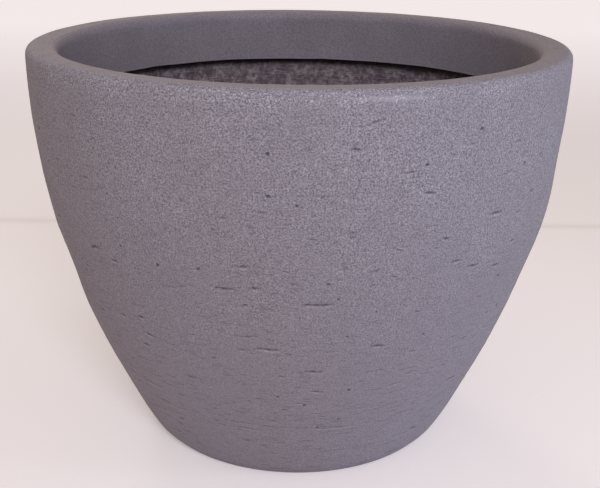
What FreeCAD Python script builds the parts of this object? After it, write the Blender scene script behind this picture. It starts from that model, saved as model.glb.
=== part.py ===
import FreeCAD, Part

import math
import os

# Round planter: a stone-resin shell with a returned rim, backed inside with glass-fibre laminate.
# The pot is a body of revolution about Z. The origin is the middle of the standing ring, on the floor.
# Every layer is drawn as a half section in (radius, height) and turned once round the axis.

# Driving dimensions, in millimetres.
RIM_DIAMETER = 500.0  # outside diameter at the rim, the widest place
HEIGHT = 380.0  # floor to the top of the rim
FOOT_DIAMETER = 284.0  # outside diameter where the wall meets the floor

# The stone-resin face of the wall and its turned-in standing ring.
SHELL_THICKNESS = 5.0
FOOT_RING_WIDTH = 26.0
FOOT_RING_THICKNESS = 6.0
FOOT_EDGE_RADIUS = 3.0

# The rim moulding: a flat land on top and a collar that turns down inside the mouth.
RIM_WIDTH = 28.5
RIM_THICKNESS = 8.0
RIM_EDGE_RADIUS = 6.0
MOUTH_EDGE_RADIUS = 8.0
COLLAR_DEPTH = 53.5  # top of the rim to the collar's lower edge
COLLAR_THICKNESS = 5.0
COLLAR_EDGE_RADIUS = 1.5
COLLAR_ROOT_RADIUS = 4.0

# The glass-fibre backing on the wall and on the floor.
LAMINATE_THICKNESS = 4.0
FLOOR_LAMINATE_THICKNESS = 3.0

# The floor slab that lies on the standing ring.
FLOOR_THICKNESS = 8.0

# Resin putty beads that bond the rim to the wall and the floor to the wall.
RIM_BEAD_LEG = 5.0
FLOOR_BEAD_LEG = 14.0
BEAD_CLEARANCE = 0.1  # glue line between a bead and the laminate
FLOOR_BEAD_HOLLOW = 0.3  # share by which the floor bead's face dips from flat towards the corner

# The drain hole and its rubber plug.
DRAIN_DIAMETER = 25.0
PLUG_CLEARANCE = 0.2  # radial gap between the plug's stem and the hole
PLUG_TAPER = 1.2  # how much smaller the stem's radius is at its lower end
PLUG_RECESS = 1.0  # the stem ends this far above the slab's underside
PLUG_FLANGE_DIAMETER = 38.0
PLUG_FLANGE_THICKNESS = 3.5
PLUG_FLANGE_EDGE_RADIUS = 1.2
PLUG_GROOVE_DEPTH = 1.0
PLUG_GROOVE_HEIGHT = 1.6
PULL_LOOP_DIAMETER = 16.0  # across the middle of the loop's cord
PULL_LOOP_SECTION = 4.0

# Places that follow from the driving dimensions.
RIM_RADIUS = RIM_DIAMETER / 2
FOOT_RADIUS = FOOT_DIAMETER / 2
MOUTH_RADIUS = RIM_RADIUS - RIM_WIDTH
COLLAR_OUTER_RADIUS = MOUTH_RADIUS + COLLAR_THICKNESS
COLLAR_FOOT = HEIGHT - COLLAR_DEPTH
WALL_TOP = HEIGHT - RIM_THICKNESS
FLOOR_UNDERSIDE = FOOT_RING_THICKNESS
FLOOR_TOP = FLOOR_UNDERSIDE + FLOOR_THICKNESS
FLOOR_LAMINATE_TOP = FLOOR_TOP + FLOOR_LAMINATE_THICKNESS
DRAIN_RADIUS = DRAIN_DIAMETER / 2

# The wall is one arc: it starts at the foot and stands upright where it meets the rim.
WALL_SPREAD = RIM_RADIUS - FOOT_RADIUS
WALL_ARC_RADIUS = (WALL_TOP**2 + WALL_SPREAD**2) / (2 * WALL_SPREAD)
WALL_ARC_CENTRE = RIM_RADIUS - WALL_ARC_RADIUS

# Depth of each layer's face, measured in from the outside of the wall.
SHELL_INSIDE = SHELL_THICKNESS
LAMINATE_INSIDE = SHELL_THICKNESS + LAMINATE_THICKNESS
BEAD_BACK = LAMINATE_INSIDE + BEAD_CLEARANCE


def wall_radius(height, depth=0.0):
    """Radius of the wall's layer at that depth, at that height."""
    drop = WALL_TOP - height
    return WALL_ARC_CENTRE + math.sqrt((WALL_ARC_RADIUS - depth) ** 2 - drop**2)


def point(radius, height):
    return FreeCAD.Vector(radius, 0.0, height)


def line(start, end):
    return Part.LineSegment(point(*start), point(*end)).toShape()


def arc(start, middle, end):
    return Part.Arc(point(*start), point(*middle), point(*end)).toShape()


def wall_arc(low, high, depth):
    """The stretch of one wall layer between two heights, drawn upwards."""
    heights = (low, (low + high) / 2, high)
    return arc(*[(wall_radius(z, depth), z) for z in heights])


def rounded_corner(centre, radius, start_degrees, end_degrees):
    """A quarter-round or smaller corner about a centre, in the half section."""
    middle_degrees = (start_degrees + end_degrees) / 2
    places = []
    for degrees in (start_degrees, middle_degrees, end_degrees):
        turn = math.radians(degrees)
        places.append((centre[0] + radius * math.cos(turn), centre[1] + radius * math.sin(turn)))
    return arc(*places)


def turned(edges):
    """The solid made by turning a closed half section once round Z."""
    wire = Part.Wire(Part.__sortEdges__(edges))
    solid = Part.Face(wire).revolve(FreeCAD.Vector(0, 0, 0), FreeCAD.Vector(0, 0, 1), 360)
    return solid.removeSplitter()


def round_circle_edge(solid, radius, height, fillet):
    """Fillets the full-circle edge of that radius and height."""
    found = []
    for edge in solid.Edges:
        if not isinstance(edge.Curve, Part.Circle):
            continue
        same_height = abs(edge.Curve.Center.z - height) < 1e-4
        if same_height and abs(edge.Curve.Radius - radius) < 1e-4 and abs(edge.Curve.Axis.z) > 0.999:
            found.append(edge)
    return solid.makeFillet(fillet, found)


def make_outer_shell():
    """The stone-resin face of the wall, with the standing ring turned in at its foot."""
    ring_inside = FOOT_RADIUS - FOOT_RING_WIDTH
    wall_inside_foot = (wall_radius(FOOT_RING_THICKNESS, SHELL_INSIDE), FOOT_RING_THICKNESS)
    outer_foot = (FOOT_RADIUS, 0.0)
    outer_top = (RIM_RADIUS, WALL_TOP)
    inner_top = (wall_radius(WALL_TOP, SHELL_INSIDE), WALL_TOP)
    shell = turned(
        [
            wall_arc(0.0, WALL_TOP, 0.0),
            line(outer_top, inner_top),
            wall_arc(FOOT_RING_THICKNESS, WALL_TOP, SHELL_INSIDE),
            line(wall_inside_foot, (ring_inside, FOOT_RING_THICKNESS)),
            line((ring_inside, FOOT_RING_THICKNESS), (ring_inside, 0.0)),
            line((ring_inside, 0.0), outer_foot),
        ]
    )
    return round_circle_edge(shell, FOOT_RADIUS, 0.0, FOOT_EDGE_RADIUS)


def make_rim_ring():
    """The rim moulding: its land sits on the wall's top edge and its collar hangs inside the mouth."""
    outer_centre = (RIM_RADIUS - RIM_EDGE_RADIUS, HEIGHT - RIM_EDGE_RADIUS)
    mouth_centre = (MOUTH_RADIUS + MOUTH_EDGE_RADIUS, HEIGHT - MOUTH_EDGE_RADIUS)
    collar_centre = (MOUTH_RADIUS + COLLAR_EDGE_RADIUS, COLLAR_FOOT + COLLAR_EDGE_RADIUS)
    root_centre = (COLLAR_OUTER_RADIUS + COLLAR_ROOT_RADIUS, WALL_TOP - COLLAR_ROOT_RADIUS)
    return turned(
        [
            line((RIM_RADIUS, WALL_TOP), (RIM_RADIUS, outer_centre[1])),
            rounded_corner(outer_centre, RIM_EDGE_RADIUS, 0, 90),
            line((outer_centre[0], HEIGHT), (mouth_centre[0], HEIGHT)),
            rounded_corner(mouth_centre, MOUTH_EDGE_RADIUS, 90, 180),
            line((MOUTH_RADIUS, mouth_centre[1]), (MOUTH_RADIUS, collar_centre[1])),
            rounded_corner(collar_centre, COLLAR_EDGE_RADIUS, 180, 270),
            line((collar_centre[0], COLLAR_FOOT), (COLLAR_OUTER_RADIUS, COLLAR_FOOT)),
            line((COLLAR_OUTER_RADIUS, COLLAR_FOOT), (COLLAR_OUTER_RADIUS, root_centre[1])),
            rounded_corner(root_centre, COLLAR_ROOT_RADIUS, 180, 90),
            line((root_centre[0], WALL_TOP), (RIM_RADIUS, WALL_TOP)),
        ]
    )


def make_wall_laminate():
    """The glass-fibre backing, bonded to the inside of the shell from the floor slab to the rim."""
    low, high = FLOOR_TOP, WALL_TOP
    return turned(
        [
            wall_arc(low, high, SHELL_INSIDE),
            line((wall_radius(high, SHELL_INSIDE), high), (wall_radius(high, LAMINATE_INSIDE), high)),
            wall_arc(low, high, LAMINATE_INSIDE),
            line((wall_radius(low, LAMINATE_INSIDE), low), (wall_radius(low, SHELL_INSIDE), low)),
        ]
    )


def make_floor_layer(low, high, depth):
    """A round slab with the drain hole, whose edge fits the wall layer at that depth."""
    return turned(
        [
            line((DRAIN_RADIUS, low), (wall_radius(low, depth), low)),
            wall_arc(low, high, depth),
            line((wall_radius(high, depth), high), (DRAIN_RADIUS, high)),
            line((DRAIN_RADIUS, high), (DRAIN_RADIUS, low)),
        ]
    )


def bead_corners(corner_height, end_height, leg):
    """The toe, the root and the end of a putty bead between the laminate and a level face."""
    root = (wall_radius(corner_height, BEAD_BACK), corner_height)
    toe = (root[0] - leg, corner_height)
    end = (wall_radius(end_height, BEAD_BACK), end_height)
    return toe, root, end


def make_rim_bead():
    """The putty bead under the rim's land, struck off flat."""
    low = WALL_TOP - RIM_BEAD_LEG
    toe, root, end = bead_corners(WALL_TOP, low, RIM_BEAD_LEG)
    return turned([line(toe, root), wall_arc(low, WALL_TOP, BEAD_BACK), line(end, toe)])


def make_floor_bead():
    """The putty bead round the floor, drawn hollow with a thumb."""
    high = FLOOR_LAMINATE_TOP + FLOOR_BEAD_LEG
    toe, root, end = bead_corners(FLOOR_LAMINATE_TOP, high, FLOOR_BEAD_LEG)
    middle = ((toe[0] + end[0]) / 2, (toe[1] + end[1]) / 2)
    dip = [m + FLOOR_BEAD_HOLLOW * (r - m) for m, r in zip(middle, root)]
    return turned(
        [line(toe, root), wall_arc(FLOOR_LAMINATE_TOP, high, BEAD_BACK), arc(end, dip, toe)]
    )


def make_drain_plug():
    """The rubber plug: a grooved, tapered stem in the hole, a flange on the floor and a pull loop."""
    stem_top_radius = DRAIN_RADIUS - PLUG_CLEARANCE
    stem_low_radius = stem_top_radius - PLUG_TAPER
    stem_low = FLOOR_UNDERSIDE + PLUG_RECESS
    flange_top = FLOOR_LAMINATE_TOP + PLUG_FLANGE_THICKNESS
    flange_radius = PLUG_FLANGE_DIAMETER / 2
    body = turned(
        [
            line((0, stem_low), (stem_low_radius, stem_low)),
            line((stem_low_radius, stem_low), (stem_top_radius, FLOOR_LAMINATE_TOP)),
            line((stem_top_radius, FLOOR_LAMINATE_TOP), (flange_radius, FLOOR_LAMINATE_TOP)),
            line((flange_radius, FLOOR_LAMINATE_TOP), (flange_radius, flange_top)),
            line((flange_radius, flange_top), (0, flange_top)),
            line((0, flange_top), (0, stem_low)),
        ]
    )
    body = round_circle_edge(body, flange_radius, flange_top, PLUG_FLANGE_EDGE_RADIUS)
    stem_length = FLOOR_LAMINATE_TOP - stem_low
    groove_height = stem_low + (stem_length - PLUG_GROOVE_HEIGHT) / 2
    groove_tool = Part.makeCylinder(DRAIN_RADIUS, PLUG_GROOVE_HEIGHT, point(0, groove_height))
    groove_core = Part.makeCylinder(
        stem_low_radius - PLUG_GROOVE_DEPTH, PLUG_GROOVE_HEIGHT, point(0, groove_height)
    )
    body = body.cut(groove_tool.cut(groove_core))
    loop_centre = FreeCAD.Vector(0, 0, flange_top)
    loop = Part.makeTorus(
        PULL_LOOP_DIAMETER / 2, PULL_LOOP_SECTION / 2, loop_centre, FreeCAD.Vector(0, 1, 0)
    )
    loop_reach = PULL_LOOP_DIAMETER + PULL_LOOP_SECTION
    above_flange = Part.makeBox(
        loop_reach,
        loop_reach,
        loop_reach,
        FreeCAD.Vector(-loop_reach / 2, -loop_reach / 2, flange_top - PLUG_FLANGE_THICKNESS / 2),
    )
    return body.fuse(loop.common(above_flange)).removeSplitter()


def make_parts():
    """Every piece by its node name."""
    return {
        "outer_shell": make_outer_shell(),
        "rim_ring": make_rim_ring(),
        "wall_laminate": make_wall_laminate(),
        "floor_slab": make_floor_layer(FLOOR_UNDERSIDE, FLOOR_TOP, SHELL_INSIDE),
        "floor_laminate": make_floor_layer(FLOOR_TOP, FLOOR_LAMINATE_TOP, LAMINATE_INSIDE),
        "rim_bond_bead": make_rim_bead(),
        "floor_bond_bead": make_floor_bead(),
        "drain_plug": make_drain_plug(),
    }


def main():
    os.makedirs("parts", exist_ok=True)
    for name, shape in make_parts().items():
        solids = shape.Solids
        print(f"{name}: solids {len(solids)}, valid {shape.isValid()}, volume {shape.Volume:.0f} mm3")
        solid = solids[0] if len(solids) == 1 else shape
        solid.exportStep(os.path.join("parts", name + ".step"))


main()
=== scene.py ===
import math
import random
from collections import namedtuple
from functools import partial

import bpy
import numpy as np
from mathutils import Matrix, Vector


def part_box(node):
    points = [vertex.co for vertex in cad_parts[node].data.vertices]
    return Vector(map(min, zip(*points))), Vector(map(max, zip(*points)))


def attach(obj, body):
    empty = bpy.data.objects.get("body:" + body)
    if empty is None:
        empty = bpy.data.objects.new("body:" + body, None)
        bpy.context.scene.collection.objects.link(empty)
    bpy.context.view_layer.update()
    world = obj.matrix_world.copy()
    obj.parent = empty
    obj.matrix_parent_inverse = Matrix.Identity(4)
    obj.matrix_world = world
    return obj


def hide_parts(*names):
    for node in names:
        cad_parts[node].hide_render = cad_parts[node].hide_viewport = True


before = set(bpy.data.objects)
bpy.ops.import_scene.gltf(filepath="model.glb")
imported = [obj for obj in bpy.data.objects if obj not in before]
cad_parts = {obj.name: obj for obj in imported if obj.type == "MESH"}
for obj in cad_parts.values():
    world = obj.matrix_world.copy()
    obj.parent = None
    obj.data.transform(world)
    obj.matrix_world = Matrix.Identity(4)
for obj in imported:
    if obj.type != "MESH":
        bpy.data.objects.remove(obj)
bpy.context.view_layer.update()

bl_info = {
    "name": "Stone resin planter",
    "version": (1, 0, 0),
    "blender": (4, 5, 0),
    "location": "3D View > Sidebar > Planter",
    "description": "Dresses the planter: stone-resin shell and rim, glass-fibre lining and rubber plug",
    "category": "Object",
}

# Lengths in this file are metres unless a name says otherwise.
MM = 0.001
SAME_PLACE = 0.02 * MM
FULL_TURN = 2 * math.pi


def linear(hex_colour):
    """The linear RGB of an sRGB hex value."""
    shares = [int(hex_colour[i : i + 2], 16) / 255 for i in (1, 3, 5)]
    return tuple(s / 12.92 if s <= 0.04045 else ((s + 0.055) / 1.055) ** 2.4 for s in shares)


def opaque(hex_colour):
    """The same with full opacity, as a node takes it."""
    return (*linear(hex_colour), 1.0)


# Sizes read from the frame

def rows_of(items, field):
    """The place that each part of a mesh keeps in that field, one row each."""
    flat = np.empty(len(items) * 3, np.float32)
    items.foreach_get(field, flat)
    return flat.reshape(-1, 3).astype(float)


def points_of(mesh):
    return rows_of(mesh.vertices, "co")


def face_centres(mesh):
    return rows_of(mesh.polygons, "center")


def radius_of(points):
    """How far each point lies from the axis of the pot."""
    return np.hypot(points[:, 0], points[:, 1])


def radii_at(node, height):
    """Smallest and largest radius of a CAD node's vertices at that height."""
    points = points_of(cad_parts[node].data)
    level = points[np.abs(points[:, 2] - height) < SAME_PLACE]
    radius = radius_of(level)
    return float(radius.min()), float(radius.max())


WALL_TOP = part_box("outer_shell")[1].z
RIM_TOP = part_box("rim_ring")[1].z
COLLAR_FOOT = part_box("rim_ring")[0].z
LINING_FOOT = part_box("wall_laminate")[0].z
SLAB_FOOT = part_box("floor_slab")[0].z
FLOOR_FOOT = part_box("floor_laminate")[0].z
FLOOR_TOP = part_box("floor_laminate")[1].z
BEAD_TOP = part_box("floor_bond_bead")[1].z

SHELL_INNER, RIM_RADIUS = radii_at("outer_shell", WALL_TOP)
FOOT_RING_INNER, FOOT_FLAT = radii_at("outer_shell", 0.0)
LAND_INNER, LAND_OUTER = radii_at("rim_ring", RIM_TOP)
COLLAR_FLAT, COLLAR_OUTER = radii_at("rim_ring", COLLAR_FOOT)
MOUTH_RADIUS = float(radius_of(points_of(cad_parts["rim_ring"].data)).min())
LINING_INNER = radii_at("wall_laminate", WALL_TOP)[0]
DRAIN_RADIUS = radii_at("floor_laminate", FLOOR_TOP)[0]
BEAD_TOE, BEAD_ROOT = radii_at("floor_bond_bead", FLOOR_TOP)

SHELL_THICKNESS = RIM_RADIUS - SHELL_INNER
LINING_DEPTH = RIM_RADIUS - LINING_INNER
RIM_EDGE = RIM_RADIUS - LAND_OUTER
MOUTH_EDGE = LAND_INNER - MOUTH_RADIUS
COLLAR_EDGE = COLLAR_FLAT - MOUTH_RADIUS

# The wall is one arc that stands upright at the rim. The lining's back face lies on its inner side.
LINING_DROP = WALL_TOP - LINING_FOOT
LINING_SPREAD = SHELL_INNER - radii_at("wall_laminate", LINING_FOOT)[1]
WALL_ARC = (LINING_DROP**2 + LINING_SPREAD**2) / (2 * LINING_SPREAD) + SHELL_THICKNESS


def wall_radius(height, depth=0.0):
    """Radius of the wall's layer at that depth from the outside, at that height."""
    return RIM_RADIUS - WALL_ARC + math.sqrt((WALL_ARC - depth) ** 2 - (WALL_TOP - height) ** 2)


# Sizes and colours that a user would change

def length_property(label, text, millimetres):
    return bpy.props.FloatProperty(
        name=label, description=text, default=millimetres * MM, min=0.0, precision=5, unit="LENGTH"
    )


def count_property(label, text, count):
    return bpy.props.IntProperty(name=label, description=text, default=count, min=0)


def colour_property(label, text, hex_colour):
    return bpy.props.FloatVectorProperty(
        name=label, description=text, default=opaque(hex_colour), size=4, min=0.0, max=1.0, subtype="COLOR"
    )


class PlanterShape(bpy.types.PropertyGroup):
    """Unevenness of the hand-laid layers and the marks left by the making."""

    sides: count_property("Sides", "Steps round the pot", 224)
    wall_rings: count_property("Wall rings", "Steps up the outside of the wall", 200)
    wall_wobble: length_property("Wall wobble", "How far the hand-laid wall strays from round", 0.8)
    wall_ripple: length_property("Wall ripple", "Height of the trowel ripples on the wall", 0.4)
    wall_swell: length_property("Wall swell", "How far the right side of the wall bulges", 2.6)
    wall_flat: length_property("Wall flat", "How far the left side of the wall is flattened", 1.8)
    foot_swell: length_property("Foot swell", "How far the wall is fuller just above the foot", 2.4)
    foot_round: length_property("Foot rounding", "How far the foot's edge is smoothed back by hand", 2.2)
    lining_lumps: length_property("Lining lumps", "Height of the lumps in the glass-fibre lining", 2.2)
    collar_trim: length_property("Collar trim", "How far the hand-trimmed collar edge strays", 1.2)
    drag_marks: count_property("Drag marks", "Short level scratches dragged into the wall", 80)
    nicks: count_property("Nicks", "Faint short nicks all over the wall", 300)
    folds: count_property("Folds", "Faint level folds low on the wall", 100)
    pinholes: count_property("Pinholes", "Burst bubbles in the wall", 60)
    seed: count_property("Seed", "Start of the random draws", 7)


class PlanterFinish(bpy.types.PropertyGroup):
    """Colours of the planter's materials."""

    stone: colour_property("Stone", "Middle tone of the stone-filled resin", "#88818a")
    # The paler tone near the floor is painted bounce light from the floor.
    painted_bounce_stone: colour_property("Low stone", "Dusty tone of the stone face near the floor", "#98919b")
    stone_land: colour_property("Land", "Dry tone of the rim's flat land", "#93888b")
    stone_pale: colour_property("Pale grain", "Light grains in the stone face", "#b9b3bb")
    stone_dark: colour_property("Dark grain", "Dark grains in the stone face", "#5e5961")
    pit: colour_property("Pit", "Shadowed floor of pits and scratches", "#454048")
    worn: colour_property("Worn grain", "Bare pale grains along the worn rim edge", "#e2dfe6")
    collar: colour_property("Collar", "Smooth moulded face of the collar", "#7e767e")
    fibre: colour_property("Fibre", "Resin-rich glass-fibre lining", "#5a4a52")
    fibre_pale: colour_property("Pale fibre", "Dry, pale patches of the fibre mat", "#c0b7b4")
    # A dark tone painted just below the collar, standing in for the collar's shadow on the lining.
    painted_collar_shade: colour_property("Collar shadow", "Dark resin under the collar, where the mat stops", "#2c2629")
    putty: colour_property("Putty", "Resin putty in the beads", "#6b6664")
    rubber: colour_property("Rubber", "Drain plug rubber", "#232224")


class PlanterStage(bpy.types.PropertyGroup):
    """Camera, light and floor."""

    camera_distance: length_property("Camera distance", "Level distance from the pot's axis", 959.9)
    camera_height: length_property("Camera height", "Height of the camera above the floor", 515.6)
    camera_side: length_property("Camera side", "How far the camera stands to the right", 2.6)
    camera_tilt: bpy.props.FloatProperty(
        name="Camera tilt", description="How far the camera looks down", default=0.3396, subtype="ANGLE"
    )
    camera_roll: bpy.props.FloatProperty(
        name="Camera roll", description="How far the camera leans", default=0.011, subtype="ANGLE"
    )
    focal_length: bpy.props.FloatProperty(
        name="Focal length", description="Lens, in millimetres", default=60.74, unit="CAMERA"
    )
    floor_near: colour_property("Floor", "Pale floor round the pot", "#ede6e5")
    floor_far: colour_property("Far floor", "Paler floor behind the pot", "#f5f0f3")
    floor_crease: colour_property("Floor crease", "Shaded crease across the floor", "#d9cfcc")
    floor_glow: bpy.props.FloatProperty(
        name="Floor glow", description="Light that the floor adds for the camera alone", default=0.35, min=0.0
    )
    floor_line: length_property("Floor line", "Crease where the paler floor starts, behind the axis", 600)


GROUPS = {"planter_shape": PlanterShape, "planter_finish": PlanterFinish, "planter_stage": PlanterStage}


# Modelling helpers

def deselect_all():
    """Leaves edit mode and selects nothing."""
    if bpy.context.object and bpy.context.object.mode != "OBJECT":
        bpy.ops.object.mode_set(mode="OBJECT")
    bpy.ops.object.select_all(action="DESELECT")


def arc_points(centre, radius, start, end, count):
    """Points on an arc of the half section between two angles in degrees, both ends included."""
    turns = [math.radians(start + (end - start) * i / count) for i in range(count + 1)]
    return [(centre[0] + radius * math.cos(t), centre[1] + radius * math.sin(t)) for t in turns]


def between(start, end, count):
    """Evenly spaced points from just after the start to the end."""
    steps = [i / count for i in range(1, count + 1)]
    return [(start[0] + (end[0] - start[0]) * s, start[1] + (end[1] - start[1]) * s) for s in steps]


def curve_points(start, bend, end, count):
    """Points on a curve drawn towards the bend, both ends left out."""
    points = []
    for step in range(1, count):
        share = step / count
        keep = 1 - share
        points.append(
            tuple(
                keep * keep * s + 2 * keep * share * b + share * share * e
                for s, b, e in zip(start, bend, end)
            )
        )
    return points


def wall_points(low, high, depth, count):
    """Points up one layer of the wall, both ends included."""
    heights = [low + (high - low) * i / count for i in range(count + 1)]
    return [(wall_radius(z, depth), z) for z in heights]


def turned_piece(name, section, sides):
    """A closed ring of the section's (radius, height) points, drawn as a line and spun round Z."""
    deselect_all()
    bpy.ops.mesh.primitive_plane_add(size=MM, location=(0, 0, 0))
    piece = bpy.context.object
    piece.name = name
    piece.data.name = name
    bpy.ops.object.mode_set(mode="EDIT")
    bpy.context.tool_settings.mesh_select_mode = (True, False, False)
    bpy.ops.mesh.select_all(action="SELECT")
    bpy.ops.mesh.merge(type="CENTER")
    bpy.ops.transform.translate(value=(section[0][0], 0, section[0][1]))
    for here, there in zip(section, section[1:] + section[:1]):
        step = (there[0] - here[0], 0, there[1] - here[1])
        bpy.ops.mesh.extrude_vertices_move(TRANSFORM_OT_translate={"value": step})
    bpy.ops.mesh.select_all(action="SELECT")
    bpy.ops.mesh.spin(steps=sides, angle=FULL_TURN, center=(0, 0, 0), axis=(0, 0, 1))
    bpy.ops.mesh.select_all(action="SELECT")
    bpy.ops.mesh.remove_doubles(threshold=SAME_PLACE)
    bpy.ops.mesh.select_all(action="SELECT")
    bpy.ops.mesh.normals_make_consistent(inside=False)
    bpy.ops.object.mode_set(mode="OBJECT")
    return piece


def weigh(piece, name, weights):
    """Gives the piece a vertex group with one weight per vertex."""
    group = piece.vertex_groups.new(name=name)
    for index in np.flatnonzero(weights > 0):
        group.add([int(index)], float(weights[index]), "REPLACE")


def push(piece, name, distance, group, feature=0.0, direction="NORMAL", still=0.5):
    """Displaces the weighed vertices in a direction, by cloud noise of that feature size if given.

    Noise at the still level moves nothing, so a still level of 1 only pushes back.
    """
    modifier = piece.modifiers.new(name, "DISPLACE")
    modifier.vertex_group = group
    modifier.direction = direction
    modifier.strength = distance
    modifier.mid_level = 0.0
    if feature:
        texture = bpy.data.textures.new(name, "CLOUDS")
        texture.noise_scale = feature
        modifier.texture = texture
        modifier.texture_coords = "LOCAL"
        modifier.mid_level = still
    bpy.context.view_layer.objects.active = piece
    bpy.ops.object.modifier_apply(modifier=name)


def fade(values, low, high):
    """0 below low, 1 above high, with a smooth slope between."""
    share = np.clip((values - low) / (high - low), 0.0, 1.0)
    return share * share * (3 - 2 * share)


SMOOTH_ANGLE = math.radians(40)


def finish_piece(piece, body, replaced, materials):
    """Smooth shading, materials and the frame's book-keeping for one piece."""
    deselect_all()
    piece.select_set(True)
    bpy.context.view_layer.objects.active = piece
    bpy.ops.object.shade_smooth_by_angle(angle=SMOOTH_ANGLE)
    for material in materials:
        piece.data.materials.append(material)
    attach(piece, body)
    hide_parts(*replaced)


# Marks in the wall

Mark = namedtuple("Mark", "angle height half_length half_width depth lip tilt wave")
MarkKind = namedtuple("MarkKind", "half_width depth lip tilt")

FRONT = -math.pi / 2

# Marks that stand out on the front: degrees round from the front, height and half length in millimetres,
# and how much a scratch rises along its length.
FRONT_SCRATCHES = (
    (13, 356, 8, 0.3), (10, 336, 5, 0.0), (20, 316, 5, 0.0), (24, 298, 6, 0.0),
    (-10, 240, 6, 0.0), (-14, 219, 8, 0.0), (-8, 221, 6, 0.0), (4, 207, 13, 0.0),
    (-6, 162, 10, 0.0), (18, 162, 6, 0.0), (4, 139, 8, 0.0), (5, 116, 6, 0.0),
)
FRONT_NICKS = (
    (8, 269, 3), (10, 270, 5), (10, 266, 4), (3, 265, 5), (2, 260, 5),
    (-2, 237, 5), (9, 241, 4), (15, 236, 6), (2, 184, 5), (-10, 174, 8),
)
FRONT_PINHOLES = (
    (-5, 333), (0, 293), (-5, 300), (-19, 234), (-28, 231), (6, 226),
    (-10, 205), (29, 166), (50, 164), (-37, 240), (23, 321), (34, 344),
)

# Ranges that the marks' sizes are drawn from, in millimetres, and the spread of their tilt.
SCRATCH = MarkKind(half_width=(0.9, 1.3), depth=(0.6, 1.0), lip=(0.15, 0.4), tilt=0.07)
FOLD = MarkKind(half_width=(0.6, 0.9), depth=(0.12, 0.36), lip=(0.1, 0.35), tilt=0.04)
NICK = MarkKind(half_width=(0.75, 1.05), depth=(0.2, 0.5), lip=(0.0, 0.2), tilt=0.15)
PINHOLE_RADIUS = (0.95, 1.45)
PINHOLE_STRETCH = (0.9, 1.25)
PINHOLE_DEPTH = (0.6, 1.2)
SCRATCH_HALF_LENGTH = (2.5, 8.0)
FOLD_HALF_LENGTH = (6.0, 20.0)
NICK_HALF_LENGTH = (2.0, 4.5)

# Where the random marks lie: turns from the front in radians, heights in millimetres.
SCRATCH_TURN = (math.radians(28), math.radians(332))
SCRATCH_LOWEST, SCRATCH_SPAN, SCRATCH_CROWDING = 40, 290, 1.3
FOLD_LOWEST, FOLD_HIGHEST, FOLD_USUAL = 24, 150, 60
NICK_LEVELS = (60, 345)
PINHOLE_LEVELS = (60, 310)


def cut_mark(draw, kind, angle, height, half_length, rise=0.0):
    """A nearly straight cut. A scratch or a fold has a raised lip below it, pale with a painted highlight,
    and a nick may have one.
    """
    half_width = draw.uniform(*kind.half_width) * MM
    depth = draw.uniform(*kind.depth) * MM
    lip = (draw.choice(kind.lip) if kind is NICK else draw.uniform(*kind.lip)) * MM
    tilt = rise + draw.gauss(0, kind.tilt)
    wave = draw.uniform(0, FULL_TURN)
    return Mark(angle, height, half_length, half_width, depth, lip, tilt, wave)


def pinhole(draw, angle, height):
    """A burst bubble."""
    radius = draw.uniform(*PINHOLE_RADIUS) * MM
    half_length = radius * draw.uniform(*PINHOLE_STRETCH)
    depth = draw.uniform(*PINHOLE_DEPTH) * MM
    return Mark(angle, height, half_length, radius, depth, lip=0.0, tilt=0.0, wave=0.0)


def draw_marks(shape):
    """The front's own marks, and random ones on the sides, the back and low on the wall."""
    draw = random.Random(shape.seed)
    marks = []
    for degrees, height, half_length, rise in FRONT_SCRATCHES:
        angle = FRONT + math.radians(degrees)
        marks.append(cut_mark(draw, SCRATCH, angle, height * MM, half_length * MM, rise))
    for degrees, height in FRONT_PINHOLES:
        marks.append(pinhole(draw, FRONT + math.radians(degrees), height * MM))
    for _ in range(shape.drag_marks):
        angle = FRONT + draw.uniform(*SCRATCH_TURN)
        height = (SCRATCH_LOWEST + SCRATCH_SPAN * draw.random() ** SCRATCH_CROWDING) * MM
        marks.append(cut_mark(draw, SCRATCH, angle, height, draw.uniform(*SCRATCH_HALF_LENGTH) * MM))
    for _ in range(shape.pinholes):
        angle = draw.uniform(0, FULL_TURN)
        marks.append(pinhole(draw, angle, draw.uniform(*PINHOLE_LEVELS) * MM))
    for _ in range(shape.folds):
        angle = draw.uniform(0, FULL_TURN)
        height = draw.triangular(FOLD_LOWEST, FOLD_HIGHEST, FOLD_USUAL) * MM
        marks.append(cut_mark(draw, FOLD, angle, height, draw.uniform(*FOLD_HALF_LENGTH) * MM))
    for _ in range(shape.nicks):
        angle = draw.uniform(0, FULL_TURN)
        height = draw.uniform(*NICK_LEVELS) * MM
        marks.append(cut_mark(draw, NICK, angle, height, draw.uniform(*NICK_HALF_LENGTH) * MM))
    for degrees, height, half_length in FRONT_NICKS:
        marks.append(cut_mark(draw, NICK, FRONT + math.radians(degrees), height * MM, half_length * MM))
    return marks


MARK_WANDER = 0.4 * MM
MARK_WAVELENGTH = 19.5 * MM
MARK_BREAK = 7 * MM
MARK_UNEVEN = 0.3

# A lip lies below its mark. Its middle and its far edge, in half widths of the mark.
LIP_MIDDLE, LIP_END = 2, 3


def mark_frame(points, mark, margin=0.0):
    """The points level with a mark, and how far along and across it each one lies."""
    reach = LIP_END * mark.half_width + abs(mark.tilt) * mark.half_length + MARK_WANDER + margin
    level = np.flatnonzero(np.abs(points[:, 2] - mark.height) < reach)
    x, y, z = points[level].T
    turn = (np.arctan2(y, x) - mark.angle + math.pi) % FULL_TURN - math.pi
    along = turn * np.hypot(x, y)
    wander = MARK_WANDER * np.sin(along * FULL_TURN / MARK_WAVELENGTH + mark.wave) if mark.wave else 0.0
    return level, along, z - mark.height - mark.tilt * along - wander


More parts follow.
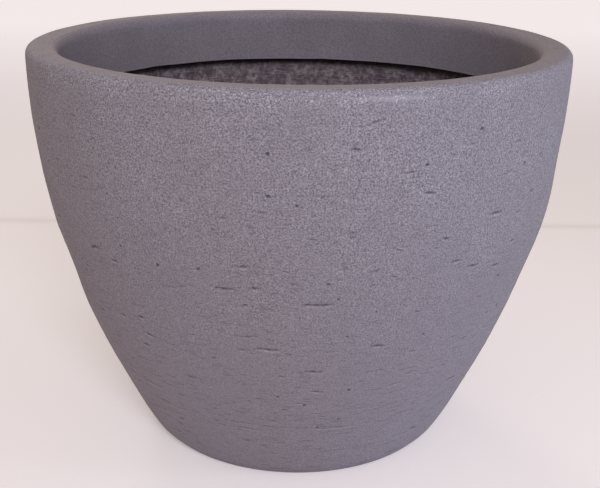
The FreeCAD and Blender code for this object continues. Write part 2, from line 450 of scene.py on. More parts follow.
def mark_relief(points, marks):
    """How deep the marks cut at each point and how high the lips below them stand, in metres."""
    cut = np.zeros(len(points))
    lip = np.zeros(len(points))
    for mark in marks:
        level, along, across = mark_frame(points, mark)
        lengthwise = np.clip(1 - (along / mark.half_length) ** 2, 0, 1) ** 0.5
        if mark.wave:
            breaks = np.cos(along * FULL_TURN / MARK_BREAK)
            lengthwise = lengthwise * (1 - MARK_UNEVEN + MARK_UNEVEN * breaks)
        crosswise = np.clip(1 - (across / mark.half_width) ** 2, 0, 1)
        below = np.clip(1 - (across / mark.half_width + LIP_MIDDLE) ** 2, 0, 1)
        cut[level] = np.maximum(cut[level], mark.depth * lengthwise * crosswise)
        lip[level] = np.maximum(lip[level], mark.lip * lengthwise * below)
    return cut, lip


def near_marks(points, marks, width, height):
    """True for each face centre whose face, of that width and height, a mark or its lip touches."""
    near = np.zeros(len(points), bool)
    for mark in marks:
        level, along, across = mark_frame(points, mark, height)
        low = -LIP_END * mark.half_width if mark.lip else -mark.half_width
        touched = (across > low - height / 2) & (across < mark.half_width + height / 2)
        near[level] |= touched & (np.abs(along) < mark.half_length + width / 2)
    return near


def refine_faces(piece, chosen, cuts):
    """Cuts the chosen faces of a piece into a finer grid."""
    mesh = piece.data
    mesh.vertices.foreach_set("select", np.zeros(len(mesh.vertices), bool))
    mesh.edges.foreach_set("select", np.zeros(len(mesh.edges), bool))
    mesh.polygons.foreach_set("select", chosen)
    bpy.context.view_layer.objects.active = piece
    bpy.context.tool_settings.mesh_select_mode = (False, False, True)
    bpy.ops.object.mode_set(mode="EDIT")
    bpy.ops.mesh.subdivide(number_cuts=cuts)
    bpy.ops.object.mode_set(mode="OBJECT")


def on_outside(points):
    """True for points on the outer face of the wall."""
    radius = radius_of(points)
    height = np.clip(points[:, 2], 0.0, WALL_TOP)
    outer = RIM_RADIUS - WALL_ARC + np.sqrt(WALL_ARC**2 - (WALL_TOP - height) ** 2)
    return radius > outer - SHELL_THICKNESS / 2


# Patches of the wall that stray from the arc: angle, height, half turn and half height.
SWELL = (math.radians(-12), 0.624 * WALL_TOP, 1.0, 62 * MM)
FLAT = (math.radians(192), 0.49 * WALL_TOP, 1.0, 42 * MM)


def patch_weight(points, angle, height, half_turn, half_height):
    """1 in the middle of a patch of the wall, smoothly down to 0 at its border."""
    turn = np.arctan2(points[:, 1], points[:, 0]) - angle
    turn = (turn + math.pi) % FULL_TURN - math.pi
    across = np.clip(1 - (turn / half_turn) ** 2, 0, 1)
    upward = np.clip(1 - ((points[:, 2] - height) / half_height) ** 2, 0, 1)
    return (across * upward) ** 2


RUB_TURN = math.radians(16)
RUB_REACH = math.radians(6)
RUB_LEVEL = WALL_TOP + MM
RUB_WIDTH = 1.8 * MM

WEAR_ALL_ROUND = 0.1
WEAR_AT_FRONT = 0.5
WEAR_FOOT, WEAR_FULL = WALL_TOP - 9 * MM, WALL_TOP - 2 * MM
WEAR_INNER, WEAR_OUTER = LAND_OUTER - 2 * MM, LAND_OUTER + 4 * MM


def rub_streak(points):
    """A pale level streak under the front of the rim, where something has rubbed along it."""
    turn = np.arctan2(points[:, 1], points[:, 0]) - FRONT - RUB_TURN
    along = np.exp(-((turn / RUB_REACH) ** 4))
    across = np.exp(-(((points[:, 2] - RUB_LEVEL) / RUB_WIDTH) ** 2))
    return along * across


def edge_wear(points):
    """How much the rim's outer edge is rubbed at each point: most at the front, where hands grip it."""
    radius = radius_of(points)
    turn = np.arctan2(points[:, 1], points[:, 0]) - FRONT
    front = WEAR_ALL_ROUND + WEAR_AT_FRONT * np.clip(np.cos(turn), 0, 1) ** 2
    on_edge = fade(radius, WEAR_INNER, WEAR_OUTER)
    band = fade(points[:, 2], WEAR_FOOT, WEAR_FULL)
    return np.maximum(front * band, rub_streak(points)) * on_edge


def store(piece, name, values):
    """Keeps one number from 0 to 1 per vertex for the material to read."""
    attribute = piece.data.attributes.new(name, "FLOAT", "POINT")
    attribute.data.foreach_set("value", np.clip(values, 0, 1).astype(np.float32))


# Materials

# Sockets of the Mix node when it mixes colours.
SHARE, FIRST, SECOND, MIXED = 0, 6, 7, 2


def set_inputs(node, inputs):
    """Gives each input of a node a value, or a link from a socket."""
    for key, value in inputs.items():
        if isinstance(value, bpy.types.NodeSocket):
            node.id_data.links.new(value, node.inputs[key])
        else:
            node.inputs[key].default_value = value


def add_node(tree, kind, inputs=None, **settings):
    """Adds a node with its settings, values and links, and returns its outputs."""
    node = tree.nodes.new("ShaderNode" + kind)
    for name, value in settings.items():
        setattr(node, name, value)
    set_inputs(node, inputs or {})
    return node.outputs


def new_material(name):
    """A material, its shader, add_node for its tree, and the coordinates that its patterns lie in."""
    material = bpy.data.materials.new(name)
    material.use_nodes = True
    tree = material.node_tree
    add = partial(add_node, tree)
    return material, tree.nodes["Principled BSDF"], add, add("TexCoord")["Object"]


def make_stone_face(finish):
    """Stone-filled polyester resin, hand-laid in a mould and brushed back.

    The eye sees a matte grey with sand-sized light and dark grains, strongest in the upper half, faint level
    brush lines, painted shade in the pits with a painted highlight on their lips, and bare pale grains where
    the rim's edge is rubbed.
    """
    material, shader, add, place = new_material("brushed stone-filled resin")
    height = add("SeparateXYZ", {"Vector": place})["Z"]
    on_land = add("Attribute", attribute_name="on_land")["Fac"]

    # Light and dark grains. Real grit is finer, and is drawn this coarse so that it shows.
    grain_size = 1.25 * MM
    grain = add("TexNoise", {"Vector": place, "Scale": 1 / grain_size, "Roughness": 0.6})["Fac"]
    grain_tone = add("MapRange", {"Value": grain, "From Min": 0.28, "From Max": 0.72})["Result"]
    speckled = add(
        "Mix", {SHARE: grain_tone, FIRST: finish.stone_dark, SECOND: finish.stone_pale}, data_type="RGBA"
    )[MIXED]

    # The grains show in clouds, more towards the rim and less on its land.
    cloud_size = 55 * MM
    grains_start, grains_full = 0.3 * RIM_TOP, 0.85 * RIM_TOP
    cloud_noise = add("TexNoise", {"Vector": place, "Scale": 1 / cloud_size, "Detail": 4})["Fac"]
    cloud = add(
        "MapRange", {"Value": cloud_noise, "From Min": 0.3, "From Max": 0.7, "To Min": 0.75, "To Max": 1.15}
    )["Result"]
    rising = add(
        "MapRange",
        {"Value": height, "From Min": grains_start, "From Max": grains_full, "To Min": 0.5, "To Max": 0.95},
    )["Result"]
    off_land = add("MapRange", {"Value": on_land, "To Min": 1.0, "To Max": 0.5})["Result"]
    upward = add("Math", {0: rising, 1: off_land}, operation="MULTIPLY")["Value"]
    grain_share = add("Math", {0: cloud, 1: upward}, operation="MULTIPLY")["Value"]

    # The tone under the grains is paler near the floor, a painted bounce light from the floor, and dry on the
    # land.
    bounce_fade = add("MapRange", {"Value": height, "From Max": 0.6 * RIM_TOP})["Result"]
    bounce_toned = add("Mix", {SHARE: bounce_fade, FIRST: finish.painted_bounce_stone, SECOND: finish.stone}, data_type="RGBA")[MIXED]
    plain = add("Mix", {SHARE: on_land, FIRST: bounce_toned, SECOND: finish.stone_land}, data_type="RGBA")[MIXED]
    sandy = add("Mix", {SHARE: grain_share, FIRST: plain, SECOND: speckled}, data_type="RGBA")[MIXED]

    # Level lines left by the brush, stronger low on the wall.
    brush_length, brush_width = 16 * MM, 1.8 * MM
    brush_low, brush_high = 0.25 * RIM_TOP, 0.65 * RIM_TOP
    stretch = (1.0, 1.0, brush_length / brush_width)
    level_place = add("Mapping", {"Vector": place, "Scale": stretch})["Vector"]
    brush = add("TexNoise", {"Vector": level_place, "Scale": 1 / brush_length})["Fac"]
    stroke = add("MapRange", {"Value": brush, "From Min": 0.42, "From Max": 0.28})["Result"]
    strength = add(
        "MapRange",
        {"Value": height, "From Min": brush_low, "From Max": brush_high, "To Min": 0.5, "To Max": 0.25},
    )["Result"]
    streak = add("Math", {0: stroke, 1: strength}, operation="MULTIPLY")["Value"]
    brushed = add("Mix", {SHARE: streak, FIRST: sandy, SECOND: finish.stone_dark}, data_type="RGBA")[MIXED]

    # Painted shade in the cut marks, and a painted highlight on the lips below them, which also carry the
    # pale rubbed streak under the front of the rim.
    pit = add("Attribute", attribute_name="pit")["Fac"]
    pit_shade = add("Math", {0: pit, 1: 0.8}, operation="MULTIPLY")["Value"]
    pitted = add("Mix", {SHARE: pit_shade, FIRST: brushed, SECOND: finish.pit}, data_type="RGBA")[MIXED]
    lip = add("Attribute", attribute_name="lip")["Fac"]
    lip_sheen_and_rub = add("Math", {0: lip, 1: 0.6}, operation="MULTIPLY")["Value"]
    lipped = add("Mix", {SHARE: lip_sheen_and_rub, FIRST: pitted, SECOND: finish.stone_pale}, data_type="RGBA")[MIXED]

    # Bare grains along the rubbed edge, in patches.
    speck_size, patch_size = 1.6 * MM, 23 * MM
    speck_noise = add("TexNoise", {"Vector": place, "Scale": 1 / speck_size, "Roughness": 0.7})["Fac"]
    speck = add("MapRange", {"Value": speck_noise, "From Min": 0.58, "From Max": 0.63})["Result"]
    patch_noise = add("TexNoise", {"Vector": place, "Scale": 1 / patch_size})["Fac"]
    patch = add(
        "MapRange", {"Value": patch_noise, "From Min": 0.35, "From Max": 0.55, "To Min": 0.15, "To Max": 1.0}
    )["Result"]
    wear = add("Attribute", attribute_name="wear")["Fac"]
    bared = add("Math", {0: speck, 1: patch}, operation="MULTIPLY")["Value"]
    rubbed = add("Math", {0: bared, 1: wear}, operation="MULTIPLY")["Value"]
    worn = add("Mix", {SHARE: rubbed, FIRST: lipped, SECOND: finish.worn}, data_type="RGBA")[MIXED]

    sand = add("Bump", {"Height": grain, "Strength": 0.7, "Distance": 0.7 * MM})["Normal"]
    relief = add("Bump", {"Height": brush, "Strength": 0.5, "Distance": 1.2 * MM, "Normal": sand})["Normal"]
    set_inputs(shader, {"Base Color": worn, "Normal": relief, "Roughness": 0.82, "Specular IOR Level": 0.35})
    return material


def make_collar_face(finish):
    """The same resin against a smooth mould: finer grain, a little darker, with a paler trimmed edge."""
    material, shader, add, place = new_material("smooth-moulded stone resin")
    height = add("SeparateXYZ", {"Vector": place})["Z"]
    grain_size, cloud_size = 1.5 * MM, 40 * MM
    grain = add("TexNoise", {"Vector": place, "Scale": 1 / grain_size})["Fac"]
    grain_share = add("MapRange", {"Value": grain, "From Min": 0.3, "From Max": 0.7, "To Max": 0.5})["Result"]
    grainy = add(
        "Mix", {SHARE: grain_share, FIRST: finish.collar, SECOND: finish.stone_pale}, data_type="RGBA"
    )[MIXED]
    cloud = add("TexNoise", {"Vector": place, "Scale": 1 / cloud_size, "Detail": 3})["Fac"]
    cloud_share = add(
        "MapRange", {"Value": cloud, "From Min": 0.35, "From Max": 0.65, "To Max": 0.35}
    )["Result"]
    clouded = add("Mix", {SHARE: cloud_share, FIRST: grainy, SECOND: finish.collar}, data_type="RGBA")[MIXED]
    trim_start, trim_end = COLLAR_FOOT + 2.6 * MM, COLLAR_FOOT + 1.2 * MM
    trimmed = add(
        "MapRange", {"Value": height, "From Min": trim_start, "From Max": trim_end, "To Max": 0.3}
    )["Result"]
    colour = add("Mix", {SHARE: trimmed, FIRST: clouded, SECOND: finish.stone_pale}, data_type="RGBA")[MIXED]
    relief = add("Bump", {"Height": grain, "Strength": 0.4, "Distance": 0.3 * MM})["Normal"]
    set_inputs(shader, {"Base Color": colour, "Normal": relief, "Roughness": 0.75, "Specular IOR Level": 0.3})
    return material


# Three ways that the strands of the fibre mat lie, as turns of their pattern.
STRAND_TURNS = ((0.6, 0.5, 0.0), (-0.7, 0.3, 0.9), (0.2, -0.9, 0.4))


def make_fibre(finish):
    """Chopped-strand glass-fibre mat wetted with dark resin: cloudy, with dry pale patches and strands."""
    material, shader, add, place = new_material("glass-fibre laminate")
    height = add("SeparateXYZ", {"Vector": place})["Z"]
    fleck_size, patch_size = 4 * MM, 14 * MM
    fleck = add("TexNoise", {"Vector": place, "Scale": 1 / fleck_size, "Detail": 3, "Roughness": 0.65})["Fac"]
    patch = add("TexNoise", {"Vector": place, "Scale": 1 / patch_size, "Detail": 3})["Fac"]
    dryness = add("Math", {0: patch, 1: fleck}, operation="MULTIPLY")["Value"]
    dry = add("MapRange", {"Value": dryness, "From Min": 0.18, "From Max": 0.46, "To Max": 0.75})["Result"]
    mat = add("Mix", {SHARE: dry, FIRST: finish.fibre, SECOND: finish.fibre_pale}, data_type="RGBA")[MIXED]
    relief = add("Bump", {"Height": fleck, "Strength": 0.8, "Distance": 1.5 * MM})["Normal"]

    # Real strands are finer, and are drawn as bundles so that they show.
    strand_length, strand_width = 30 * MM, 1.2 * MM
    stretch = (1.0, 1.0, strand_length / strand_width)
    for turn in STRAND_TURNS:
        strand_place = add("Mapping", {"Vector": place, "Rotation": turn, "Scale": stretch})["Vector"]
        strand = add("TexNoise", {"Vector": strand_place, "Scale": 1 / strand_length})["Fac"]
        share = add(
            "MapRange", {"Value": strand, "From Min": 0.62, "From Max": 0.76, "To Max": 0.5}
        )["Result"]
        mat = add("Mix", {SHARE: share, FIRST: mat, SECOND: finish.fibre_pale}, data_type="RGBA")[MIXED]
        relief = add(
            "Bump", {"Height": strand, "Strength": 0.4, "Distance": 0.8 * MM, "Normal": relief}
        )["Normal"]

    # Painted shade: the lining turns dark just below the collar, standing in for the collar's shadow on it.
    shade_start, shade_full = COLLAR_FOOT - 10 * MM, COLLAR_FOOT - 4 * MM
    shadow_share = add(
        "MapRange", {"Value": height, "From Min": shade_start, "From Max": shade_full, "To Max": 0.8}
    )["Result"]
    colour = add("Mix", {SHARE: shadow_share, FIRST: mat, SECOND: finish.painted_collar_shade}, data_type="RGBA")[MIXED]
    set_inputs(shader, {"Base Color": colour, "Normal": relief, "Roughness": 0.6})
    return material


def make_putty(finish):
    """Filled resin putty, pressed in with a thumb: dull, lumpy and slightly mottled."""
    material, shader, add, place = new_material("filled resin putty")
    lump_size = 6 * MM
    lump = add("TexNoise", {"Vector": place, "Scale": 1 / lump_size, "Detail": 4})["Fac"]
    colour = add("Mix", {SHARE: lump, FIRST: finish.fibre, SECOND: finish.putty}, data_type="RGBA")[MIXED]
    relief = add("Bump", {"Height": lump, "Strength": 0.6, "Distance": 1.0 * MM})["Normal"]
    set_inputs(shader, {"Base Color": colour, "Normal": relief, "Roughness": 0.75})
    return material


def make_rubber(finish):
    """Moulded EPDM rubber: near black, with a fine matt skin and a faint grey bloom."""
    material, shader, add, place = new_material("moulded EPDM rubber")
    bloom_size, skin_size = 9 * MM, 0.6 * MM
    cloud = add("TexNoise", {"Vector": place, "Scale": 1 / bloom_size, "Detail": 3})["Fac"]
    bloom = add("MapRange", {"Value": cloud, "From Min": 0.4, "From Max": 0.8, "To Max": 0.25})["Result"]
    colour = add("Mix", {SHARE: bloom, FIRST: finish.rubber, SECOND: finish.fibre}, data_type="RGBA")[MIXED]
    skin = add("TexNoise", {"Vector": place, "Scale": 1 / skin_size, "Detail": 1})["Fac"]
    relief = add("Bump", {"Height": skin, "Strength": 0.3, "Distance": 0.1 * MM})["Normal"]
    set_inputs(shader, {"Base Color": colour, "Normal": relief, "Roughness": 0.62, "IOR": 1.52})
    return material


MAKERS = {
    "stone_face": make_stone_face,
    "collar_face": make_collar_face,
    "fibre": make_fibre,
    "putty": make_putty,
    "rubber": make_rubber,
}
MADE = {}


def material_for(key, context):
    """The material of that key, made the first time it is asked for."""
    if key not in MADE:
        MADE[key] = MAKERS[key](context.scene.planter_finish)
    return MADE[key]


def dress_node(node, material):
    """Gives a CAD node that stays in view its material."""
    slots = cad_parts[node].data.materials
    slots.clear()
    slots.append(material)


# The pieces

# The wall strays from round between these heights, and least near the foot and the rim.
UNEVEN_FOOT, UNEVEN_LOW = 4 * MM, 30 * MM
UNEVEN_HIGH = WALL_TOP - 40 * MM

# The foot's swell is fullest at the first of these heights and ends at the second.
FOOT_SWELL_LEVEL, FOOT_SWELL_TOP = 13 * MM, 75 * MM

# Cuts across a face that a mark touches, and the relief at which a pit has its full painted shade and a lip
# its full painted highlight.
MARK_CUTS = 2
FULL_PIT, FULL_LIP = 0.5 * MM, 0.4 * MM


class PLANTER_OT_outer_shell(bpy.types.Operator):
    """Turns the stone-resin wall with its standing ring, then cuts the pits and drag marks"""

    bl_idname = "planter.outer_shell"
    bl_label = "Outer shell"

    def execute(self, context):
        shape = context.scene.planter_shape
        marks = draw_marks(shape)
        shell = turned_piece("stone_shell", self.section(shape), shape.sides)
        self.refine(shell, shape, marks)
        self.shape_wall(shell, shape, marks)
        finish_piece(shell, "pot", ["outer_shell"], [material_for("stone_face", context)])
        return {"FINISHED"}

    def section(self, shape):
        corner = (wall_radius(0.0), 0.0)
        flat = corner[0] - FOOT_FLAT + shape.foot_round
        foot_start = (corner[0] - flat, 0.0)
        edge_top = flat * math.sqrt(1 - ((WALL_TOP / WALL_ARC) ** 2))
        edge_end = (wall_radius(edge_top), edge_top)
        section = [(FOOT_RING_INNER, 0.0), foot_start, *curve_points(foot_start, corner, edge_end, count=4)]
        section += wall_points(edge_top, WALL_TOP, depth=0.0, count=shape.wall_rings)
        section += wall_points(WALL_TOP, SLAB_FOOT, SHELL_THICKNESS, count=14)
        section.append((FOOT_RING_INNER, SLAB_FOOT))
        return section

    def refine(self, shell, shape, marks):
        """Finer faces where the marks are, and finer still at the pinholes."""
        bubbles = [mark for mark in marks if not mark.wave]
        width, height = FULL_TURN * RIM_RADIUS / shape.sides, WALL_TOP / shape.wall_rings
        for touching in (marks, bubbles):
            centres = face_centres(shell.data)
            chosen = near_marks(centres, touching, width, height) & on_outside(centres)
            refine_faces(shell, chosen, MARK_CUTS)
            width, height = width / (MARK_CUTS + 1), height / (MARK_CUTS + 1)

    def shape_wall(self, shell, shape, marks):
        points = points_of(shell.data)
        height = points[:, 2]
        outside = on_outside(points)
        uneven = outside * fade(height, UNEVEN_FOOT, UNEVEN_LOW)
        low = fade(height, 0.0, FOOT_SWELL_LEVEL) * (1 - fade(height, FOOT_SWELL_LEVEL, FOOT_SWELL_TOP))
        cut, lip = [np.where(outside, relief, 0.0) for relief in mark_relief(points, marks)]
        weigh(shell, "open_wall", uneven * (1 - fade(height, UNEVEN_HIGH, WALL_TOP)))
        weigh(shell, "swell", outside * patch_weight(points, *SWELL))
        weigh(shell, "flat", outside * patch_weight(points, *FLAT))
        weigh(shell, "foot_swell", outside * low)
        weigh(shell, "marks", cut / MM)
        weigh(shell, "lips", lip / MM)
        # The pit number drives painted shade in the cuts. The lip number drives a painted highlight on the
        # lips and the pale rubbed streak.
        store(shell, "pit", cut / FULL_PIT)
        store(shell, "lip", np.maximum(lip / FULL_LIP, rub_streak(points)))
        store(shell, "wear", edge_wear(points))
        push(shell, "wobble", shape.wall_wobble, "open_wall", feature=110 * MM)
        push(shell, "ripple", shape.wall_ripple, "open_wall", feature=18 * MM)
        push(shell, "swell", shape.wall_swell, "swell")
        push(shell, "flat", -shape.wall_flat, "flat")
        push(shell, "foot_swell", shape.foot_swell, "foot_swell")
        push(shell, "marks", -MM, "marks")
        push(shell, "lips", MM, "lips")


# Where the rim's faces change: the grainy outer edge, the dry land and the smooth collar.
GRAIN_END, GRAIN_START = LAND_OUTER - 6 * MM, LAND_OUTER + 2 * MM
COLLAR_FACE_RADIUS = MOUTH_RADIUS + 3 * MM
TRIM_HEIGHT = 12 * MM
COLLAR_CALM = 25 * MM


class PLANTER_OT_rim(bpy.types.Operator):
    """Turns the rim moulding: a flat land on top and a smooth collar inside the mouth"""

    bl_idname = "planter.rim"
    bl_label = "Rim"

    def execute(self, context):
        shape = context.scene.planter_shape
        rim = turned_piece("rim_moulding", self.section(), shape.sides)
        self.shape_rim(rim, shape)
        faces = [material_for(key, context) for key in ("stone_face", "collar_face")]
        finish_piece(rim, "pot", ["rim_ring"], faces)
        centres = face_centres(rim.data)
        radius = radius_of(centres)
        on_collar = (radius < COLLAR_FACE_RADIUS) | (centres[:, 2] < WALL_TOP - MM)
        rim.data.polygons.foreach_set("material_index", on_collar.astype(np.int32))
        rim.data.update()
        return {"FINISHED"}

    def section(self):
        edge_centre = (LAND_OUTER, RIM_TOP - RIM_EDGE)
        mouth_centre = (LAND_INNER, RIM_TOP - MOUTH_EDGE)
        collar_end = (MOUTH_RADIUS, COLLAR_FOOT + COLLAR_EDGE)
        trim_centre = (COLLAR_FLAT, collar_end[1])
        section = [(RIM_RADIUS, WALL_TOP)]
        section += arc_points(edge_centre, RIM_EDGE, start=0, end=90, count=8)
        section += between((LAND_OUTER, RIM_TOP), (LAND_INNER, RIM_TOP), count=6)
        section += arc_points(mouth_centre, MOUTH_EDGE, start=90, end=180, count=8)[1:]
        section += between(section[-1], collar_end, count=14)
        section += arc_points(trim_centre, COLLAR_EDGE, start=180, end=270, count=4)[1:]
        section.append((COLLAR_OUTER, COLLAR_FOOT))
        section += between(section[-1], (COLLAR_OUTER, WALL_TOP), count=10)
        section += between(section[-1], (SHELL_INNER, WALL_TOP), count=3)
        return section

    def shape_rim(self, rim, shape):
        points = points_of(rim.data)
        height = points[:, 2]
        radius = radius_of(points)
        hanging = radius < COLLAR_OUTER + MM
        land = (height > WALL_TOP + MM) * fade(height, WALL_TOP + MM, RIM_TOP - RIM_EDGE)
        weigh(rim, "land", land)
        weigh(rim, "collar", hanging * (1 - fade(height, WALL_TOP - COLLAR_CALM, WALL_TOP)))
        weigh(rim, "low_edge", hanging * (1 - fade(height, COLLAR_FOOT, COLLAR_FOOT + TRIM_HEIGHT)))
        store(rim, "wear", edge_wear(points))
        store(rim, "lip", rub_streak(points))
        store(rim, "on_land", 1 - fade(radius, GRAIN_END, GRAIN_START))
        push(rim, "land_waves", 0.5 * MM, "land", feature=35 * MM, still=1.0)
        push(rim, "collar_waves", 1.0 * MM, "collar", feature=60 * MM)
        push(rim, "collar_trim", shape.collar_trim, "low_edge", feature=45 * MM, direction="Z")


# The lining's lumps start above the putty bead and end below the rim.
LUMPS_FOOT, LUMPS_LOW = BEAD_TOP - 5 * MM, BEAD_TOP + 20 * MM
LUMPS_HIGH = WALL_TOP - 12 * MM


class PLANTER_OT_lining(bpy.types.Operator):
    """Turns the lumpy glass-fibre lining of the wall"""

    bl_idname = "planter.lining"
    bl_label = "Wall lining"

    def execute(self, context):
        shape = context.scene.planter_shape
        section = wall_points(LINING_FOOT, WALL_TOP, SHELL_THICKNESS, count=14)
        section += wall_points(WALL_TOP, LINING_FOOT, LINING_DEPTH, count=84)
        lining = turned_piece("fibre_lining", section, shape.sides)
        points = points_of(lining.data)
        height = points[:, 2]
        radius = radius_of(points)
        middle = np.array([wall_radius(z, (SHELL_THICKNESS + LINING_DEPTH) / 2) for z in height])
        face = (radius < middle) * fade(height, LUMPS_FOOT, LUMPS_LOW)
        weigh(lining, "face", face * (1 - fade(height, LUMPS_HIGH, WALL_TOP)))
        push(lining, "lumps", shape.lining_lumps, "face", feature=26 * MM)
        push(lining, "strands", shape.lining_lumps * 0.5, "face", feature=8 * MM)
        finish_piece(lining, "pot", ["wall_laminate"], [material_for("fibre", context)])
        return {"FINISHED"}


# The bead's face is hollowed by this share of the way to the corner behind it.
BEAD_HOLLOW = 0.3
BEAD_FRONT = BEAD_ROOT + 4 * MM
FLANGE_MARGIN = 12 * MM


class PLANTER_OT_floor(bpy.types.Operator):
    """Turns the fibre floor and the putty bead round it, and finishes the slab under them"""

    bl_idname = "planter.floor"
    bl_label = "Floor"

    def execute(self, context):
        sides = context.scene.planter_shape.sides // 2
        self.add_floor_mat(context, sides)
        self.add_bead(context, sides)
        dress_node("floor_slab", material_for("stone_face", context))
        dress_node("rim_bond_bead", material_for("putty", context))
        return {"FINISHED"}

    def add_floor_mat(self, context, sides):
        edge_low = (wall_radius(FLOOR_FOOT, LINING_DEPTH), FLOOR_FOOT)
        edge_high = (wall_radius(FLOOR_TOP, LINING_DEPTH), FLOOR_TOP)
        section = [(DRAIN_RADIUS, FLOOR_FOOT), edge_low, edge_high]
        section += between(edge_high, (DRAIN_RADIUS, FLOOR_TOP), count=36)
        floor = turned_piece("fibre_floor", section, sides)
        points = points_of(floor.data)
        radius = radius_of(points)
        flange_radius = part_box("drain_plug")[1].x
        off_flange = fade(radius, flange_radius, flange_radius + FLANGE_MARGIN)
        face = (points[:, 2] > FLOOR_TOP - SAME_PLACE) * off_flange
        weigh(floor, "face", face * (1 - fade(radius, BEAD_TOE, BEAD_ROOT)))
        push(floor, "lumps", 1.2 * MM, "face", feature=18 * MM)
        finish_piece(floor, "pot", ["floor_laminate"], [material_for("fibre", context)])

    def add_bead(self, context, sides):
        toe, root = (BEAD_TOE, FLOOR_TOP), (BEAD_ROOT, FLOOR_TOP)
        top = (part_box("floor_bond_bead")[1].x, BEAD_TOP)
        middle = [(t + e) / 2 for t, e in zip(toe, top)]
        bend = [m + 2 * BEAD_HOLLOW * (r - m) for m, r in zip(middle, root)]
        section = [toe, root, top, *curve_points(top, bend, toe, count=8)]
        bead = turned_piece("floor_putty_bead", section, sides)
        points = points_of(bead.data)
        height = points[:, 2]
        inside = radius_of(points) < BEAD_FRONT
        lift = inside * fade(height, FLOOR_TOP, FLOOR_TOP + 3 * MM)
        weigh(bead, "lift", lift * (1 - fade(height, BEAD_TOP - 4 * MM, BEAD_TOP)))
        push(bead, "thumbed", 1.6 * MM, "lift", feature=20 * MM)
        finish_piece(bead, "pot", ["floor_bond_bead"], [material_for("putty", context)])


class PLANTER_OT_plug(bpy.types.Operator):
    """Gives the drain plug its rubber"""

    bl_idname = "planter.plug"
    bl_label = "Drain plug"

    def execute(self, context):
        dress_node("drain_plug", material_for("rubber", context))
        return {"FINISHED"}


# The stage

SENSOR_WIDTH_MM = 36.0
FLOOR_SPAN = 16.0
FLOOR_BLEND = 1.5
CREASE_HALF_WIDTH = 22 * MM
CREASE_SHADE = 0.5
FAR_GLOW_START, FAR_GLOW_END, FAR_GLOW = 1.2, 3.0, 0.22

Lamp = namedtuple("Lamp", "name kind place size watts tint")
LAMPS = (
    Lamp("front_soft_box", "AREA", place=(0.28, -1.9, 1.35), size=0.6, watts=24.6, tint="#dfe3f2"),
    Lamp("back_spot", "SPOT", place=(-0.9, 2.5, 1.0), size=0.5, watts=64.0, tint="#fff2e8"),
    Lamp("right_spot", "SPOT", place=(2.5, -0.4, 0.34), size=0.3, watts=83.0, tint="#d2e2ff"),
    Lamp("left_spot", "SPOT", place=(-2.4, -1.1, 0.34), size=0.3, watts=12.5, tint="#ffd4b4"),
)
SPOT_ANGLE = math.radians(40)
SKY_LOW, SKY_HIGH, BACKDROP = 0.08, 0.55, 0.86
SKY_TINT = "#fff0e6"


def seen_directly(add):
    """1 for rays that show a surface to the camera, straight or in a gloss or glass, 0 for lighting."""
    path = add("LightPath")
    seen = path["Is Camera Ray"]
    for ray in ("Is Glossy Ray", "Is Transmission Ray"):
        seen = add("Math", {0: seen, 1: path[ray]}, operation="MAXIMUM")["Value"]
    return seen


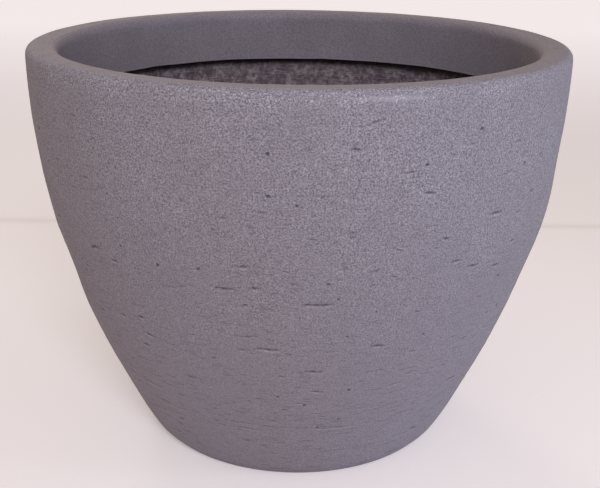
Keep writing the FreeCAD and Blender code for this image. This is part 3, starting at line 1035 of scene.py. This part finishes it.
class PLANTER_OT_stage(bpy.types.Operator):
    """Sets the camera, the soft lights and the pale floor"""

    bl_idname = "planter.stage"
    bl_label = "Stage"

    def execute(self, context):
        stage = context.scene.planter_stage
        context.scene.view_settings.view_transform = "Standard"
        self.add_camera(context, stage)
        self.add_floor(context, stage)
        for lamp in LAMPS:
            self.add_lamp(context, lamp)
        self.add_room(context)
        return {"FINISHED"}

    def add_camera(self, context, stage):
        deselect_all()
        bpy.ops.object.camera_add(location=(stage.camera_side, -stage.camera_distance, stage.camera_height))
        camera = context.object
        camera.rotation_mode = "ZYX"
        camera.rotation_euler = (math.pi / 2 - stage.camera_tilt, 0.0, stage.camera_roll)
        camera.data.sensor_width = SENSOR_WIDTH_MM
        camera.data.lens = stage.focal_length
        context.scene.camera = camera

    def add_floor(self, context, stage):
        """A pale flat floor with painted shade along a crease line behind the pot, and a glow that only the
        camera sees.
        """
        deselect_all()
        bpy.ops.mesh.primitive_plane_add(size=FLOOR_SPAN, location=(0, 0, 0))
        floor = context.object
        floor.name = "pale_floor"
        material, shader, add, place = new_material("matt pale floor")
        back = add("SeparateXYZ", {"Vector": place})["Y"]
        line, blend_end = stage.floor_line, stage.floor_line + FLOOR_BLEND
        paler = add("MapRange", {"Value": back, "From Min": line, "From Max": blend_end})["Result"]
        plain = add(
            "Mix", {SHARE: paler, FIRST: stage.floor_near, SECOND: stage.floor_far}, data_type="RGBA"
        )[MIXED]
        past_line = add("Math", {0: back, 1: line}, operation="SUBTRACT")["Value"]
        off_line = add("Math", {0: past_line}, operation="ABSOLUTE")["Value"]
        crease = add(
            "MapRange",
            {"Value": off_line, "From Max": CREASE_HALF_WIDTH, "To Min": CREASE_SHADE, "To Max": 0.0},
        )["Result"]
        colour = add(
            "Mix", {SHARE: crease, FIRST: plain, SECOND: stage.floor_crease}, data_type="RGBA"
        )[MIXED]
        far_glow = add(
            "MapRange",
            {
                "Value": back,
                "From Min": FAR_GLOW_START,
                "From Max": FAR_GLOW_END,
                "To Min": stage.floor_glow,
                "To Max": stage.floor_glow + FAR_GLOW,
            },
        )["Result"]
        glow = add("Math", {0: seen_directly(add), 1: far_glow}, operation="MULTIPLY")["Value"]
        set_inputs(shader, {"Base Color": colour, "Emission Color": colour, "Emission Strength": glow})
        set_inputs(shader, {"Roughness": 0.9, "Specular IOR Level": 0.1})
        floor.data.materials.append(material)

    def add_lamp(self, context, lamp):
        """A lamp turned to the middle of the pot."""
        deselect_all()
        bpy.ops.object.light_add(type=lamp.kind, location=lamp.place)
        light = context.object
        light.name = lamp.name
        light.data.energy = lamp.watts
        light.data.color = linear(lamp.tint)
        if lamp.kind == "AREA":
            light.data.size = lamp.size
        else:
            light.data.shadow_soft_size = lamp.size
            light.data.spot_size = SPOT_ANGLE
            light.data.spot_blend = 1.0
        aim = (-light.location.x, -light.location.y, RIM_TOP / 2 - light.location.z)
        light.rotation_mode = "QUATERNION"
        light.rotation_quaternion = Vector(aim).to_track_quat("-Z", "Y")

    def add_room(self, context):
        """A room that is lighter overhead, with an even pale backdrop for the camera."""
        world = bpy.data.worlds.new("soft_room")
        world.use_nodes = True
        add = partial(add_node, world.node_tree)
        direction = add("TexCoord")["Generated"]
        upward = add("SeparateXYZ", {"Vector": direction})["Z"]
        sky = add("MapRange", {"Value": upward, "To Min": SKY_LOW, "To Max": SKY_HIGH})["Result"]
        backdrop = add("Math", {0: seen_directly(add), 1: BACKDROP}, operation="MULTIPLY")["Value"]
        strength = add("Math", {0: sky, 1: backdrop}, operation="MAXIMUM")["Value"]
        set_inputs(world.node_tree.nodes["Background"], {"Color": opaque(SKY_TINT), "Strength": strength})
        context.scene.world = world


class PLANTER_PT_sidebar(bpy.types.Panel):
    """Lists the planter's settings and the steps that build it"""

    bl_idname = "PLANTER_PT_sidebar"
    bl_label = "Planter"
    bl_space_type = "VIEW_3D"
    bl_region_type = "UI"
    bl_category = "Planter"

    def draw(self, context):
        for group_name, group in GROUPS.items():
            box = self.layout.box()
            for setting in group.__annotations__:
                box.prop(getattr(context.scene, group_name), setting)
        for step in STEPS:
            self.layout.operator(step.bl_idname)


STEPS = (
    PLANTER_OT_outer_shell,
    PLANTER_OT_rim,
    PLANTER_OT_lining,
    PLANTER_OT_floor,
    PLANTER_OT_plug,
    PLANTER_OT_stage,
)


def register():
    for cls in (*GROUPS.values(), *STEPS, PLANTER_PT_sidebar):
        bpy.utils.register_class(cls)
    for name, group in GROUPS.items():
        setattr(bpy.types.Scene, name, bpy.props.PointerProperty(type=group))


def unregister():
    for name in GROUPS:
        delattr(bpy.types.Scene, name)
    for cls in reversed((*GROUPS.values(), *STEPS, PLANTER_PT_sidebar)):
        bpy.utils.unregister_class(cls)


def main():
    register()
    bpy.ops.planter.outer_shell()
    bpy.ops.planter.rim()
    bpy.ops.planter.lining()
    bpy.ops.planter.floor()
    bpy.ops.planter.plug()
    bpy.ops.planter.stage()


if __name__ == "__main__":
    main()
